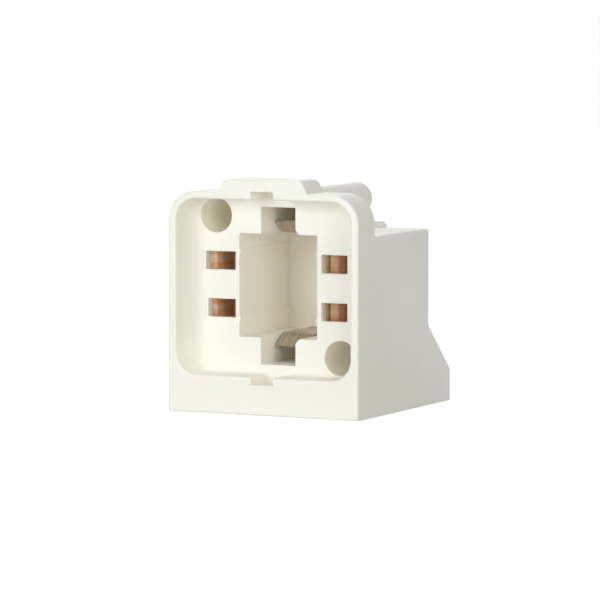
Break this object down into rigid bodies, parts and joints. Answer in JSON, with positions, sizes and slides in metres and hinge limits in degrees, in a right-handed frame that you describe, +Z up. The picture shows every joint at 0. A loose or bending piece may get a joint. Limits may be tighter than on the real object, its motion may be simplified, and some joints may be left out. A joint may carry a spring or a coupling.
{
  "type": "four-pin lamp socket",
  "caption": "Square moulded holder for a four-pin plug-in fluorescent lamp, with a keyed cavity, spring contacts, a mounting foot and a steady post.",
  "frame": {"origin": "centre of the bounding box in plan, on the base plane", "axes": "+X to the right seen from the front, +Y back along the way the lamp goes in, +Z up from the base"},
  "size_m": [0.0354, 0.0368, 0.0393],
  "materials": {
    "white_plastic": "satin moulded, warm white",
    "cover_plastic": "satin moulded, warm white",
    "contact_bronze": "rolled phosphor bronze",
    "spring_steel": "rolled stainless"
  },
  "bodies": {
    "root": {"housing": "white_plastic", "rear_cover": "cover_plastic", "contact_upper_left": "contact_bronze", "contact_lower_left": "contact_bronze", "contact_upper_right": "contact_bronze", "contact_lower_right": "contact_bronze", "retaining_spring_upper": "spring_steel", "retaining_spring_lower": "spring_steel"}
  },
  "joints": []
}
